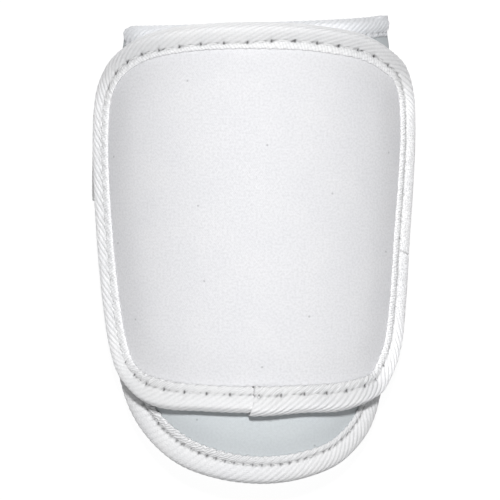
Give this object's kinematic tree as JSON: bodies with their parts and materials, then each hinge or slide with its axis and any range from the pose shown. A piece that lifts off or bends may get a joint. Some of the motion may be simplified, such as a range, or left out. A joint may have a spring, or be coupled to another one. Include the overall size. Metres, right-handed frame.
{
  "type": "baseball elbow guard",
  "caption": "Arched padded panel with a taped edge over a curled pad whose rounded tongue shows below, and an elastic strap across the open side.",
  "frame": {"origin": "under the middle of the whole guard, on the table that it lies on", "axes": "+Z out of the front, +Y along the arm towards the upper arm (the picture's top), +X across the arm to the picture's right"},
  "size_m": [0.1328, 0.1894, 0.0512],
  "materials": {
    "panel_fabric": "white knitted cover with a fine speckled weave, matt",
    "pad_fabric": "pale bluish grey knitted cover, matt",
    "binding_tape": "white twill tape with slanting ribs, matt",
    "strap_webbing": "white elastic webbing, finely ribbed",
    "hook_loop": "white hook-and-loop patch"
  },
  "bodies": {
    "root": {"outer_panel": "panel_fabric", "outer_binding": "binding_tape", "inner_pad": "pad_fabric", "pad_top_binding": "binding_tape", "pad_tongue_binding": "binding_tape", "strap_elastic": "strap_webbing", "strap_tab": "strap_webbing", "strap_hook": "hook_loop"}
  },
  "joints": []
}
